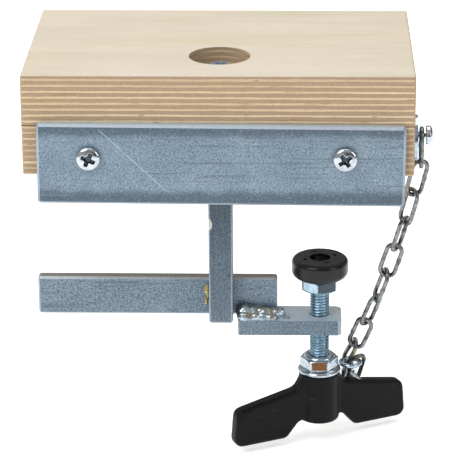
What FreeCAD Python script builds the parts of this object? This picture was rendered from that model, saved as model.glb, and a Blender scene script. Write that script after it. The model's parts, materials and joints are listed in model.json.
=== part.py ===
import FreeCAD, Part
import math
import os

# Clamp for studio rigging: a laminated plywood block with a threaded post hanging under it,
# a welded bar and arm on the post, a clamp screw in the arm and a keeper chain.
# Millimetres, +Z up. +X runs along the block from the post towards the clamp screw, and +Y
# from the front plate to the rear. The shapes are laid out from the post's axis at the block's
# top face, and export moves them so that the origin is the point of the block's underside
# that the clamp screw's pad closes on.

os.makedirs("parts", exist_ok=True)
Vec = FreeCAD.Vector
X_AXIS = Vec(1, 0, 0)
Y_AXIS = Vec(0, 1, 0)
Z_AXIS = Vec(0, 0, 1)

# --- driving dimensions -------------------------------------------------------------------
block_width = 188.0
block_depth = 116.0
board_thickness = 25.0
post_setback = 33.5          # post axis behind the block's front face
block_edge_radius = 1.2
pocket_radius = 15.0         # counterbore for the post's nut
pocket_depth = 20.0
stud_clearance_hole_radius = 5.5

plate_length = 176.2
plate_height = 40.0
plate_thickness = 4.5
plate_corner_radius = 1.8
plate_edge_chamfer = 1.2
plate_offset_x = 1.4
plate_drop = 13.5            # how far the plate reaches below the block
plate_tilt = 0.4             # degrees, the right end is lower
plate_screw_span = 122.6
plate_screw_offset_x = -0.5
plate_screw_z = -39.6

m10_radius = 4.95
m10_running_radius = 5.03    # tapped bore that the clamp screw turns in
m10_across_flats = 17.2

post_side = 12.0
post_bottom_z = -138.4
stud_end_z = -3.8

bar_length = 121.0
bar_left_x = -92.8
bar_height = 20.0
bar_thickness = 6.0
bar_corner_radius = 1.5
bar_end_chamfer = 1.0

arm_left_x = 8.3
arm_right_x = 60.6
arm_front_y = -2.0
arm_depth = 20.0
arm_thickness = 7.8
arm_rear_radius = 3.5
arm_front_radius = 1.0
arm_front_chamfer = 1.8     # the cut at the front corner under the clamp screw

screw_x = 49.6               # clamp screw axis
screw_y = 8.0
bolt_head_top_z = -118.2
bolt_head_height = 6.5
bolt_head_turn = 24.0
bolt_end_z = -186.0

pad_radius = 14.25
pad_top_z = -107.6
pad_hole_radius = 5.15
pad_hole_depth = 6.0
pad_rim_radius = 2.0
pad_seat_radius = 4.0        # round of the lower edge, above the bolt's head
pad_slot_radius = 7.9
pad_slot_turn = 23.5

nut_top_z = -160.0
nut_flange_radius = 11.0
nut_flange_thickness = 2.6

handle_top_z = -169.6
handle_bottom_z = -195.6
hub_radius = 10.4
wing_turn = 26.2             # degrees from +X towards +Y
wing_thickness = 7.5
wing_edge_radius = 1.8

wire = 2.3                   # chain wire diameter
link_width = 9.8
link_length = 21.3
link_gap = 0.35
anchor_y = -13.5
anchor_z = -35.7
anchor_shank_radius = 1.95
chain_plane_x = 98.1
tail_lean = 18.0             # the ninth link, degrees from upright
tail_back = 33.0
tail_twist = 90.0
ring_radius = 4.9
ring_wire = 2.4
ring_hold_angle = 119.0      # where the ninth link holds the ring, about Z
ring_hang_angle = 30.0       # where the end link hangs in the ring
end_link_back = 25.0         # lean of the end link, away from the wing
hook_gap = 0.5
running_gap = 0.3

# --- derived places -----------------------------------------------------------------------
front_y = -post_setback
rear_y = front_y + block_depth
joint_z = -board_thickness
under_z = -2 * board_thickness
block_end_x = block_width / 2
post_half = post_side / 2
arm_top_z = post_bottom_z
bolt_head_bottom_z = bolt_head_top_z - bolt_head_height
wing_angle = math.radians(wing_turn)


def export(node, shape):
    """Moves one sub-part to the row's origin, writes it and reports what it is."""
    shape = shape.removeSplitter() if len(shape.Solids) == 1 else shape.copy()
    shape.translate(Vec(-screw_x, -screw_y, -under_z))
    assert shape.isValid(), node
    shape.exportStep("parts/%s.step" % node)
    print("%-20s solids %d volume %10.2f mm3" % (node, len(shape.Solids), shape.Volume))


def box(x0, x1, y0, y1, z0, z1):
    return Part.makeBox(x1 - x0, y1 - y0, z1 - z0, Vec(x0, y0, z0))


def rod(radius, z0, z1, x=0.0, y=0.0):
    """An upright cylinder between two heights."""
    return Part.makeCylinder(radius, z1 - z0, Vec(x, y, z0), Z_AXIS)


def turned(points, x=0.0, y=0.0):
    """A solid of revolution about an upright axis, from (radius, height) corners."""
    outline = Part.makePolygon([Vec(r, 0, z) for r, z in points + points[:1]])
    solid = Part.Face(outline).revolve(Vec(0, 0, 0), Z_AXIS, 360)
    solid.translate(Vec(x, y, 0))
    return solid


def edges_where(shape, test):
    return [e for e in shape.Edges if test(e)]


def is_upright(edge):
    start, end = edge.Vertexes[0].Point, edge.Vertexes[-1].Point
    return abs(start.x - end.x) < 1e-6 and abs(start.y - end.y) < 1e-6


def hexagon(across_flats, z0, z1, x, y, turn=0.0, chamfered_ends=("top",)):
    """A hexagonal prism with 30 degree chamfers; turn 0 puts two flats square to Y."""
    corner = across_flats / math.sqrt(3)
    angles = [math.radians(turn + 60 * k) for k in range(7)]
    outline = Part.makePolygon([Vec(corner * math.cos(a), corner * math.sin(a), z0) for a in angles])
    prism = Part.Face(outline).extrude(Vec(0, 0, z1 - z0))
    drop = (corner - across_flats * 0.475) * math.tan(math.radians(30))
    low = drop if "bottom" in chamfered_ends else 0.0
    high = drop if "top" in chamfered_ends else 0.0
    flat = across_flats * 0.475
    limit = turned([
        (0, z0),
        (flat if low else corner + 1, z0),
        (corner, z0 + low),
        (corner, z1 - high),
        (flat if high else corner + 1, z1),
        (0, z1),
    ]) if low or high else prism
    prism = prism.common(limit)
    prism.translate(Vec(x, y, 0))
    return prism


def pan_head(radius, height):
    """A domed screw head on +Z with its seat at height 0."""
    rim = height * 0.45
    crown = Part.Arc(Vec(radius, 0, rim), Vec(radius * 0.78, 0, height * 0.86), Vec(0, 0, height))
    edges = [
        Part.makeLine(Vec(0, 0, 0), Vec(radius * 0.94, 0, 0)),
        Part.makeLine(Vec(radius * 0.94, 0, 0), Vec(radius, 0, rim)),
        crown.toShape(),
        Part.makeLine(Vec(0, 0, height), Vec(0, 0, 0)),
    ]
    return Part.Face(Part.Wire(edges)).revolve(Vec(0, 0, 0), Z_AXIS, 360)


def cross_recess(width, depth, height):
    """The cross-shaped driver recess, cut down from the crown of a head."""
    arm = box(-width / 2, width / 2, -width * 0.13, width * 0.13, height - depth, height + 1)
    other = arm.copy()
    other.rotate(Vec(0, 0, 0), Z_AXIS, 90)
    return arm.fuse(other)


def pan_screw(head_radius, head_height, shank_radius, shank_length, recess_turn):
    """A pan-head wood screw along +Z, its seat at height 0 and its point at the low end."""
    head = pan_head(head_radius, head_height)
    recess = cross_recess(head_radius * 1.05, head_height * 0.55, head_height)
    recess.rotate(Vec(0, 0, 0), Z_AXIS, recess_turn)
    point = Part.makeCone(0.3, shank_radius, 2 * shank_radius, Vec(0, 0, -shank_length), Z_AXIS)
    shank = rod(shank_radius, -shank_length + 2 * shank_radius, 0.0)
    return head.cut(recess).fuse([point, shank])


def pilot_hole(shank_radius, shank_length):
    """The hole that the same screw fills in the wood."""
    point = Part.makeCone(0.3, shank_radius, 2 * shank_radius, Vec(0, 0, -shank_length), Z_AXIS)
    return point.fuse(rod(shank_radius, -shank_length + 2 * shank_radius, 0.5))


def facing(shape, direction, place):
    """Turns a shape made along +Z to face a direction and moves it to its place."""
    placed = shape.copy()
    turn = FreeCAD.Rotation(Z_AXIS, direction)
    placed.Placement = FreeCAD.Placement(place, turn).multiply(placed.Placement)
    return placed


# --- block: two plywood boards glued face to face -------------------------------------------
plate_screw = dict(shank_radius=2.4, shank_length=34.0)
anchor_screw = dict(shank_radius=anchor_shank_radius, shank_length=28.0)
plate_face_y = front_y - plate_thickness
plate_screw_xs = [plate_screw_offset_x + side * plate_screw_span / 2 for side in (-1, 1)]
anchor_seat_x = block_end_x + 5.75


def board(z0, z1, outer_face_z):
    """One board, with its outer long edges and its corners eased."""
    blank = box(-block_end_x, block_end_x, front_y, rear_y, z0, z1)

    def is_eased(edge):
        heights = [v.Point.z for v in edge.Vertexes]
        return is_upright(edge) or all(abs(z - outer_face_z) < 1e-6 for z in heights)

    return blank.makeFillet(block_edge_radius, edges_where(blank, is_eased))


upper_board = board(joint_z, 0.0, 0.0)
upper_board = upper_board.cut(rod(pocket_radius, -pocket_depth, 1.0))
upper_board = upper_board.cut(rod(stud_clearance_hole_radius, joint_z - 1, 0.0))
export("block_upper_board", upper_board)

lower_board = board(under_z, joint_z, under_z)
lower_board = lower_board.cut(rod(stud_clearance_hole_radius, under_z - 1, joint_z + 1))
for screw_hole_x in plate_screw_xs:
    hole = pilot_hole(plate_screw["shank_radius"], plate_screw["shank_length"])
    lower_board = lower_board.cut(facing(hole, -Y_AXIS, Vec(screw_hole_x, plate_face_y, plate_screw_z)))
anchor_hole = pilot_hole(anchor_screw["shank_radius"], anchor_screw["shank_length"])
lower_board = lower_board.cut(facing(anchor_hole, X_AXIS, Vec(anchor_seat_x, anchor_y, anchor_z)))
export("block_lower_board", lower_board)

# --- front plate and its screws --------------------------------------------------------------
plate_x0 = plate_offset_x - plate_length / 2
plate_z0 = under_z - plate_drop
plate = box(plate_x0, plate_x0 + plate_length, plate_face_y, front_y, plate_z0, plate_z0 + plate_height)
plate = plate.makeFillet(plate_corner_radius, [e for e in plate.Edges if abs(e.Length - plate_thickness) < 1e-6])
plate = plate.makeChamfer(plate_edge_chamfer, edges_where(plate, lambda e: all(
    abs(v.Point.y - plate_face_y) < 1e-6 for v in e.Vertexes)))
plate.rotate(Vec(plate_offset_x, 0, plate_z0 + plate_height / 2), Y_AXIS, plate_tilt)
plate_screws = []
for turn, x in zip((20, -15), plate_screw_xs):
    seat = Vec(x, plate_face_y, plate_screw_z)
    plate = plate.cut(facing(rod(plate_screw["shank_radius"], -6, 1), -Y_AXIS, seat))
    screw = pan_screw(5.8, 3.4, recess_turn=turn, **plate_screw)
    plate_screws.append(facing(screw, -Y_AXIS, seat))
export("front_plate", plate)
export("plate_screws", Part.makeCompound(plate_screws))

# --- post, its washers and its nut -----------------------------------------------------------
bearing_washer_thickness = 3.0
shoulder_z = under_z - bearing_washer_thickness
post = box(-post_half, post_half, -post_half, post_half, post_bottom_z, shoulder_z)
post = post.makeFillet(0.8, edges_where(post, is_upright))
post = post.makeFillet(1.2, edges_where(post, lambda e: e.BoundBox.ZMax < post_bottom_z + 1e-6))
stud = turned([
    (0, shoulder_z - 1),
    (m10_radius, shoulder_z - 1),
    (m10_radius, stud_end_z - 1.0),
    (m10_radius - 1.0, stud_end_z),
    (0, stud_end_z),
])
export("post", post.fuse(stud))

nut_washer_top_z = -pocket_depth + 2.0
export("bearing_washer", rod(17.0, shoulder_z, under_z).cut(rod(5.3, shoulder_z, under_z)))
export("post_washer", rod(10.5, -pocket_depth, nut_washer_top_z).cut(rod(5.3, -pocket_depth, 0)))
post_nut = hexagon(m10_across_flats, nut_washer_top_z, nut_washer_top_z + 8.0, 0, 0, 12, ("top", "bottom"))
export("post_nut", post_nut.cut(rod(m10_radius, -pocket_depth, 0)))

# --- lower bar and arm, welded to the post ---------------------------------------------------
bar_y0 = post_half
bar_z1 = post_bottom_z + bar_height
bar = box(bar_left_x, bar_left_x + bar_length, bar_y0, bar_y0 + bar_thickness, post_bottom_z, bar_z1)
bar = bar.makeFillet(bar_corner_radius, [e for e in bar.Edges if abs(e.Length - bar_thickness) < 1e-6])
bar = bar.makeChamfer(bar_end_chamfer, edges_where(bar, lambda e: all(
    v.Point.x < bar_left_x + 3 and abs(v.Point.y - bar_y0) < 1e-6 for v in e.Vertexes)))
export("lower_bar", bar)

arm_rear_y = arm_front_y + arm_depth
arm = box(arm_left_x, arm_right_x, arm_front_y, arm_rear_y, arm_top_z - arm_thickness, arm_top_z)
arm_right_rear = edges_where(arm, lambda e: is_upright(e) and e.BoundBox.XMin > arm_right_x - 1
                             and e.BoundBox.YMin > arm_rear_y - 1)
arm = arm.makeFillet(arm_rear_radius, arm_right_rear)
arm_left_front = edges_where(arm, lambda e: is_upright(e) and e.BoundBox.YMax < arm_front_y + 1
                             and e.BoundBox.XMax < arm_left_x + 1)
arm = arm.makeFillet(arm_front_radius, arm_left_front)
arm_right_front = edges_where(arm, lambda e: is_upright(e) and e.BoundBox.YMax < arm_front_y + 1
                              and e.BoundBox.XMin > arm_right_x - 1)
arm = arm.makeChamfer(arm_front_chamfer, arm_right_front)
arm = arm.cut(rod(m10_running_radius, arm_top_z - arm_thickness - 1, arm_top_z + 1, screw_x, screw_y))
export("screw_arm", arm)


def fillet_weld(x0, x1, y, z, run, rise):
    """A convex fillet weld along X in the corner of a wall at y and a floor at z."""
    toe = Vec(x0, y - run, z)
    top = Vec(x0, y, z + rise)
    crown = Vec(x0, y - run * 0.62, z + rise * 0.62)
    edges = [
        Part.makeLine(Vec(x0, y, z), toe),
        Part.Arc(toe, crown, top).toShape(),
        Part.makeLine(top, Vec(x0, y, z)),
    ]
    return Part.Face(Part.Wire(edges)).extrude(Vec(x1 - x0, 0, 0))


export("arm_weld", fillet_weld(arm_left_x + 0.6, bar_left_x + bar_length + 3.5, bar_y0, arm_top_z, 7.0, 6.6))
post_weld = fillet_weld(-post_half + 0.8, post_half - 0.8, 0, bar_z1, 4.0, 4.0)
post_weld.rotate(Vec(0, 0, 0), Z_AXIS, 180)
post_weld.translate(Vec(0, bar_y0, 0))
export("post_weld", post_weld)

# --- clamp screw, pad and lock nut -----------------------------------------------------------
pad_screw_radius = 2.5
pad_washer_top_z = pad_top_z - pad_hole_depth
pad_washer_thickness = 1.5
pad_screw_end_z = bolt_head_top_z - 4.0

bolt = hexagon(m10_across_flats, bolt_head_bottom_z, bolt_head_top_z, screw_x, screw_y, bolt_head_turn, ("top",))
bolt = bolt.fuse(turned([
    (0, bolt_head_bottom_z + 1),
    (m10_radius, bolt_head_bottom_z + 1),
    (m10_radius, bolt_end_z + 1.0),
    (m10_radius - 1.0, bolt_end_z),
    (0, bolt_end_z),
], screw_x, screw_y))
bolt = bolt.cut(rod(pad_screw_radius, pad_screw_end_z, bolt_head_top_z + 1, screw_x, screw_y))
export("clamp_bolt", bolt)

pad = rod(pad_radius, bolt_head_top_z, pad_top_z, screw_x, screw_y)
pad = pad.makeFillet(pad_rim_radius, edges_where(pad, lambda e: e.BoundBox.ZMin > pad_top_z - 0.01))
pad = pad.makeFillet(pad_seat_radius, edges_where(pad, lambda e: e.BoundBox.ZMax < bolt_head_top_z + 0.01))
pad = pad.cut(rod(pad_hole_radius, pad_washer_top_z, pad_top_z + 1, screw_x, screw_y))
pad = pad.cut(rod(9.0, pad_washer_top_z - pad_washer_thickness, pad_washer_top_z, screw_x, screw_y))
pad = pad.cut(rod(pad_screw_radius + 0.1, bolt_head_top_z - 1, pad_washer_top_z, screw_x, screw_y))
for quarter in range(4):
    slot_turn = pad_slot_turn + 90 * quarter
    slot = box(pad_slot_radius - 0.5, pad_slot_radius + 0.7, -1.5, 1.5, pad_top_z - 1.5, pad_top_z + 1)
    slot.rotate(Vec(0, 0, 0), Z_AXIS, slot_turn)
    slot.translate(Vec(screw_x, screw_y, 0))
    pad = pad.cut(slot)
export("rubber_pad", pad)

washer_z0 = pad_washer_top_z - pad_washer_thickness
pad_washer = rod(9.0, washer_z0, pad_washer_top_z, screw_x, screw_y)
export("pad_washer", pad_washer.cut(rod(pad_screw_radius + 0.08, washer_z0, pad_washer_top_z, screw_x, screw_y)))

pad_screw = pan_head(4.2, 2.6).cut(cross_recess(4.4, 1.5, 2.6))
pad_screw.translate(Vec(screw_x, screw_y, pad_washer_top_z + 0.05))
pad_screw = pad_screw.fuse(rod(pad_screw_radius, pad_screw_end_z, pad_washer_top_z + 0.05, screw_x, screw_y))
export("pad_screw", pad_screw)

flange_z1 = handle_top_z + nut_flange_thickness
lock_nut = hexagon(m10_across_flats, flange_z1 - 0.5, nut_top_z, screw_x, screw_y, 0, ("top",))
flange = rod(nut_flange_radius, handle_top_z, flange_z1, screw_x, screw_y)
flange = flange.makeFillet(1.2, edges_where(flange, lambda e: len(e.Vertexes) == 1))
lock_nut = lock_nut.fuse(flange).cut(rod(m10_radius, handle_top_z - 1, nut_top_z + 1, screw_x, screw_y))
export("lock_nut", lock_nut)

# --- wing handle with its moulded-in insert ---------------------------------------------------
# corners of a wing's outline: distance from the axis, height below the hub's top, blend radius
wing_corners = [
    (7.0, 0.8, 0.0),
    (9.8, 0.8, 0.6),
    (13.6, 7.2, 5.0),
    (47.4, 13.6, 4.5),
    (49.0, 33.4, 4.5),
    (19.6, 33.4, 4.0),
    (12.4, 25.2, 4.0),
    (7.0, 25.2, 0.0),
]


def wing(side):
    """One wing, a flat slab with rounded edges, running out along +X or -X."""
    corners = [Vec(side * r, -wing_thickness / 2, handle_top_z - drop) for r, drop, blend in wing_corners]
    slab = Part.Face(Part.makePolygon(corners + corners[:1])).extrude(Vec(0, wing_thickness, 0))
    for corner, (r, drop, blend) in zip(corners, wing_corners):
        if blend:
            slab = slab.makeFillet(blend, edges_where(slab, lambda e: abs(e.Length - wing_thickness) < 1e-6
                                                      and e.Vertexes[0].Point.distanceToPoint(
                                                          Vec(corner.x, e.Vertexes[0].Point.y, corner.z)) < 1e-6))
    rim = edges_where(slab, lambda e: abs(e.BoundBox.YLength) < 1e-6 and e.BoundBox.XLength > 1e-6)
    return slab.makeFillet(wing_edge_radius, rim)


# --- keeper chain ------------------------------------------------------------------------------
anchor = pan_screw(4.75, 3.6, recess_turn=10, **anchor_screw)
export("anchor_screw", facing(anchor, X_AXIS, Vec(anchor_seat_x, anchor_y, anchor_z)))
washer_centre_z = anchor_z - 1.2
anchor_washer = Part.makeCylinder(11.2, 2.0, Vec(block_end_x, anchor_y, washer_centre_z), X_AXIS)
washer_hole = Part.makeCylinder(3.2, 2.0, Vec(block_end_x, anchor_y, washer_centre_z), X_AXIS)
export("anchor_washer", anchor_washer.cut(washer_hole))


def oval_link(length, width):
    """A welded oval link about the origin, long along Z, its flat in the XZ plane."""
    radius = (width - wire) / 2
    half = (length - width) / 2
    pieces = []
    for side in (-1, 1):
        leg = Part.makeCylinder(wire / 2, 2 * half, Vec(side * radius, 0, -half), Z_AXIS)
        bend = Part.makeTorus(radius, wire / 2, Vec(0, 0, 0), Z_AXIS, -180, 180, 180)
        bend.rotate(Vec(0, 0, 0), X_AXIS, 90 * side)
        bend.translate(Vec(0, 0, side * half))
        pieces += [leg, bend]
    return pieces[0].fuse(pieces[1:]).removeSplitter()


def link_axes(lean, back, twist):
    """Directions of a link that leans inwards and back from the vertical, then twists."""
    down = Vec(-math.sin(lean), math.cos(lean) * math.sin(back), -math.cos(lean) * math.cos(back))
    across = (X_AXIS - down * X_AXIS.dot(down)).normalize()
    across = FreeCAD.Rotation(down, math.degrees(twist)).multVec(across)
    return down, across


def place_link(shape, centre, down, across):
    """Puts a link with its long axis along down and its width along across."""
    up = down * -1
    turn = FreeCAD.Rotation(across, up.cross(across), up, "ZXY")
    placed = shape.copy()
    placed.Placement = FreeCAD.Placement(centre, turn)
    return placed


inner_length = link_length - 2 * wire
link_shape = oval_link(link_length, link_width)
wing_along = Vec(math.cos(wing_angle), math.sin(wing_angle), 0)
wing_rear = Vec(-math.sin(wing_angle), math.cos(wing_angle), 0)
link_twists = [90, -15, 51, -57, 10, 78, -42, 22]
link_leans = [0.0] + [12.0 + 1.1 * k for k in range(len(link_twists) - 1)]
link_backs = [0.0] + [8.5 + 1.8 * k for k in range(len(link_twists) - 1)]
link_twists.append(tail_twist)
link_leans.append(tail_lean)
link_backs.append(tail_back)
contact = Vec(chain_plane_x, anchor_y, anchor_z + anchor_shank_radius + 0.1)
hanging = zip(link_leans, link_backs, link_twists)
for number, (lean, back, twist) in enumerate(hanging, start=1):
    down, across = link_axes(math.radians(lean), math.radians(back), math.radians(twist))
    centre = contact + down * (inner_length / 2)
    export("chain_link_%d" % number, place_link(link_shape, centre, down, across))
    chain_end = contact + down * inner_length
    contact = contact + down * (inner_length - link_gap)
    print("   link %2d ends at %.2f %.2f %.2f" % (number, contact.x, contact.y, contact.z))


def level(angle):
    """The level direction at an angle about Z."""
    return Vec(math.cos(math.radians(angle)), math.sin(math.radians(angle)), 0)


# a jump ring hooks into the ninth link, and the end link hangs in the ring
ring_centre = chain_end - down * (ring_wire / 2 + hook_gap) - level(ring_hold_angle) * ring_radius
export("chain_ring", Part.makeTorus(ring_radius, ring_wire / 2, ring_centre, Z_AXIS))
end_down = (wing_rear * math.tan(math.radians(end_link_back)) - Z_AXIS).normalize()
end_top = ring_centre + level(ring_hang_angle) * ring_radius + Z_AXIS * (ring_wire / 2 + hook_gap)
end_bottom = end_top + end_down * inner_length
end_across = level(ring_hang_angle)
end_across = (end_across - end_down * end_across.dot(end_down)).normalize()
end_link = place_link(link_shape, end_top + end_down * (inner_length / 2), end_down, end_across)
export("chain_end_link", end_link)

# --- handle, with the screw that keeps the chain on it -------------------------------------------
keeper_axis = end_bottom + Vec(0, 0, anchor_shank_radius + running_gap)
keeper_offset = keeper_axis - Vec(screw_x, screw_y, keeper_axis.z)
keeper_centre = Vec(screw_x, screw_y, keeper_axis.z) + wing_along * keeper_offset.dot(wing_along)
seat_offset = keeper_offset.dot(wing_rear) + wire + running_gap
keeper_seat = keeper_centre + wing_rear * seat_offset
keeper_screw = dict(shank_radius=anchor_shank_radius, shank_length=seat_offset + wing_thickness / 2 - 1.5)

hub = rod(hub_radius, handle_bottom_z, handle_top_z)
hub = hub.makeFillet(1.0, edges_where(hub, lambda e: len(e.Vertexes) == 1))
handle = hub.fuse([wing(1), wing(-1)])
handle.rotate(Vec(0, 0, 0), Z_AXIS, wing_turn)
handle.translate(Vec(screw_x, screw_y, 0))
insert = hexagon(14.0, bolt_end_z - 1.5, handle_top_z, screw_x, screw_y, wing_turn, ())
handle = handle.cut(insert)
insert = insert.cut(rod(m10_radius, bolt_end_z, handle_top_z + 1, screw_x, screw_y))
handle = handle.cut(facing(pilot_hole(**keeper_screw), wing_rear, keeper_seat))
export("wing_handle", handle)
export("handle_insert", insert)
export("handle_screw", facing(pan_screw(4.6, 2.8, recess_turn=30, **keeper_screw), wing_rear, keeper_seat))
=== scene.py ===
import json
import math
import random

import bmesh
import bpy
import numpy as np
from mathutils import Matrix, Vector, noise


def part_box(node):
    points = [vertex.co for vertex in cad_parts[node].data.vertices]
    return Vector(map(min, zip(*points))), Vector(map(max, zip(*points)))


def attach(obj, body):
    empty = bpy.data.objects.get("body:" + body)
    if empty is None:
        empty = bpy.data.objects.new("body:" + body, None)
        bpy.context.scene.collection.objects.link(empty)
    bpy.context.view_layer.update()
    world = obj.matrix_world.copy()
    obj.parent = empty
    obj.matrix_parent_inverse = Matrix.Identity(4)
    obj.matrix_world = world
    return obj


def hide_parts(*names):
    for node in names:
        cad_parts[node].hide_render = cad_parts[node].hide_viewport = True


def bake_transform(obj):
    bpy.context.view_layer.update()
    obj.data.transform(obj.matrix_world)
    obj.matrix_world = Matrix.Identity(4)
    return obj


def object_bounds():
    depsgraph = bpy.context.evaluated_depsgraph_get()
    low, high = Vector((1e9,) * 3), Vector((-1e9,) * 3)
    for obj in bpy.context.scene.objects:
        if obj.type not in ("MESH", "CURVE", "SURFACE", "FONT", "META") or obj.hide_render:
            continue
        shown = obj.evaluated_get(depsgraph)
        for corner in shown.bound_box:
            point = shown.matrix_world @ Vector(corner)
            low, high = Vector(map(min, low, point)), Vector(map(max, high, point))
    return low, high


# The looks of a plywood-jaw studio clamp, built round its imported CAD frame. Metres, +Z up.
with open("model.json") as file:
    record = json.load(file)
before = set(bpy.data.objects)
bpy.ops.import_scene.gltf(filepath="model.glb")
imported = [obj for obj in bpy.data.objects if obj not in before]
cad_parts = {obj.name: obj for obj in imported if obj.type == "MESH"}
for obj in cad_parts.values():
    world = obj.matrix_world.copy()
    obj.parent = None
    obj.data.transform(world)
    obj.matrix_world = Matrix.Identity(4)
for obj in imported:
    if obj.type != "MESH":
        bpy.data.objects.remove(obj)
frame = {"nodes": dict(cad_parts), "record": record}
cad_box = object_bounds()
MM = 0.001


# --- places from the frame ------------------------------------------------------------------
def corners(node):
    """A CAD node's lowest and highest corners, as vectors in metres."""
    low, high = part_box(node)
    return Vector(low), Vector(high)


def centre_of(node):
    low, high = corners(node)
    return (low + high) / 2


# --- material building blocks -----------------------------------------------------------------
class Finish:
    """A node material with short calls for the nodes that the finishes share."""

    def __init__(self, name, **settings):
        self.material = bpy.data.materials.new(name)
        self.material.use_nodes = True
        self.tree = self.material.node_tree
        self.shader = self.tree.nodes["Principled BSDF"]
        place = self.tree.nodes.new("ShaderNodeTexCoord")
        self.place = place.outputs["Object"]
        self.normal = place.outputs["Normal"]
        for label, value in settings.items():
            self.feed(self.shader, label.replace("_", " "), value)

    def feed(self, node, key, value):
        socket = node.inputs[key]
        if isinstance(value, bpy.types.NodeSocket):
            self.tree.links.new(value, socket)
        elif isinstance(value, (tuple, list)) and len(value) == 3 and socket.type == "RGBA":
            socket.default_value = (*value, 1.0)
        else:
            socket.default_value = value

    def math(self, operation, a, b=0.0):
        node = self.tree.nodes.new("ShaderNodeMath")
        node.operation = operation
        self.feed(node, 0, a)
        self.feed(node, 1, b)
        return node.outputs[0]

    def plus(self, a, b):
        return self.math("ADD", a, b)

    def minus(self, a, b):
        return self.math("SUBTRACT", a, b)

    def times(self, a, b):
        return self.math("MULTIPLY", a, b)

    def size(self, a):
        return self.math("ABSOLUTE", a)

    def axis(self, vector, letter):
        node = self.tree.nodes.new("ShaderNodeSeparateXYZ")
        self.feed(node, 0, vector)
        return node.outputs[letter]

    def stretched(self, scale, turn=(0, 0, 0)):
        node = self.tree.nodes.new("ShaderNodeMapping")
        self.feed(node, "Vector", self.place)
        node.inputs["Scale"].default_value = scale
        node.inputs["Rotation"].default_value = turn
        return node.outputs[0]

    def noise(self, scale, detail=2.0, roughness=0.5, vector=None, distortion=0.0):
        node = self.tree.nodes.new("ShaderNodeTexNoise")
        self.feed(node, "Vector", vector or self.place)
        self.feed(node, "Scale", scale)
        self.feed(node, "Detail", detail)
        self.feed(node, "Roughness", roughness)
        self.feed(node, "Distortion", distortion)
        return node.outputs["Fac"]

    def wobble(self, amount, *settings):
        """A noise centred on zero, at most half the amount each way."""
        return self.times(self.minus(self.noise(*settings), 0.5), amount)

    def cells(self, scale, vector=None):
        """Distance to the nearest point of a scattered set."""
        node = self.tree.nodes.new("ShaderNodeTexVoronoi")
        self.feed(node, "Vector", vector or self.place)
        self.feed(node, "Scale", scale)
        return node.outputs["Distance"]

    def span(self, value, low, high, out_low=0.0, out_high=1.0):
        """Eases a range of a value into another range, clamped at both ends."""
        node = self.tree.nodes.new("ShaderNodeMapRange")
        node.interpolation_type = "SMOOTHSTEP"
        self.feed(node, "Value", value)
        self.feed(node, "From Min", low)
        self.feed(node, "From Max", high)
        self.feed(node, "To Min", out_low)
        self.feed(node, "To Max", out_high)
        return node.outputs[0]

    def blend(self, amount, a, b):
        node = self.tree.nodes.new("ShaderNodeMix")
        node.data_type = "RGBA"
        self.feed(node, 0, amount)
        self.feed(node, 6, a)
        self.feed(node, 7, b)
        return node.outputs[2]

    def bump(self, height, distance, strength):
        node = self.tree.nodes.new("ShaderNodeBump")
        self.feed(node, "Height", height)
        self.feed(node, "Distance", distance)
        self.feed(node, "Strength", strength)
        self.tree.links.new(node.outputs[0], self.shader.inputs["Normal"])

    def outer_edges(self, low, high):
        """1 along the outer edges of a dense mesh, 0 elsewhere."""
        node = self.tree.nodes.new("ShaderNodeNewGeometry")
        return self.span(node.outputs["Pointiness"], low, high)

    def crevices(self, low, high):
        """1 in the inner corners of a dense mesh, 0 elsewhere."""
        node = self.tree.nodes.new("ShaderNodeNewGeometry")
        return self.span(node.outputs["Pointiness"], low, high)

    def other_flats(self, turn):
        """1 on every other flat of a hexagon whose first flat faces the angle turn, 0 between them."""
        angle = self.math("ARCTAN2", self.axis(self.normal, "Y"), self.axis(self.normal, "X"))
        shift = 0.5 - turn * 3 / math.pi
        number = self.math("FLOOR", self.plus(self.math("DIVIDE", angle, math.pi / 3), shift))
        return self.math("PINGPONG", number, 1.0)

    def patch(self, centre, radii):
        """1 inside a ragged ellipsoid round a place, 0 outside."""
        away = 0.0
        for letter, middle, radius in zip("XYZ", centre, radii):
            step = self.math("DIVIDE", self.minus(self.axis(self.place, letter), middle), radius)
            away = self.plus(away, self.times(step, step))
        return self.span(self.plus(away, self.wobble(2.0, 800, 3, 0.7)), 1.2, 0.8)

    def bevels(self):
        """1 on the chamfers and rounds between an object's square faces, 0 on the faces."""
        sides = [self.size(self.axis(self.normal, letter)) for letter in "XYZ"]
        squareness = self.math("MAXIMUM", self.math("MAXIMUM", sides[0], sides[1]), sides[2])
        return self.span(squareness, 0.985, 0.90)

    def scratch(self, start, end, width):
        """1 on a straight scratch on an upright face, between two (x, z) points."""
        run = Vector((end[0] - start[0], end[1] - start[1]))
        along = run.normalized()
        x = self.minus(self.axis(self.place, "X"), start[0])
        z = self.minus(self.axis(self.place, "Z"), start[1])
        travel = self.plus(self.times(x, along.x), self.times(z, along.y))
        aside = self.minus(self.times(x, along.y), self.times(z, along.x))
        line = self.span(self.size(aside), width, width * 0.3)
        begun = self.span(travel, 0.0, 4 * MM)
        unfinished = self.span(travel, run.length, run.length - 6 * MM)
        return self.times(line, self.times(begun, unfinished))

    def color(self, value):
        self.feed(self.shader, "Base Color", value)

    def rough(self, value):
        self.feed(self.shader, "Roughness", value)


def srgb(red, green, blue):
    """A colour given as 0 to 255 display values, in linear light."""
    return tuple(((c / 255 + 0.055) / 1.055) ** 2.4 for c in (red, green, blue))


# --- finishes ---------------------------------------------------------------------------------
# how far the wing's long direction is turned from the frame's X
WING_TURN = math.radians(26.2)
# one plywood board's thickness and its number of plies
BOARD = 25 * MM
PLIES = 17


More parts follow.
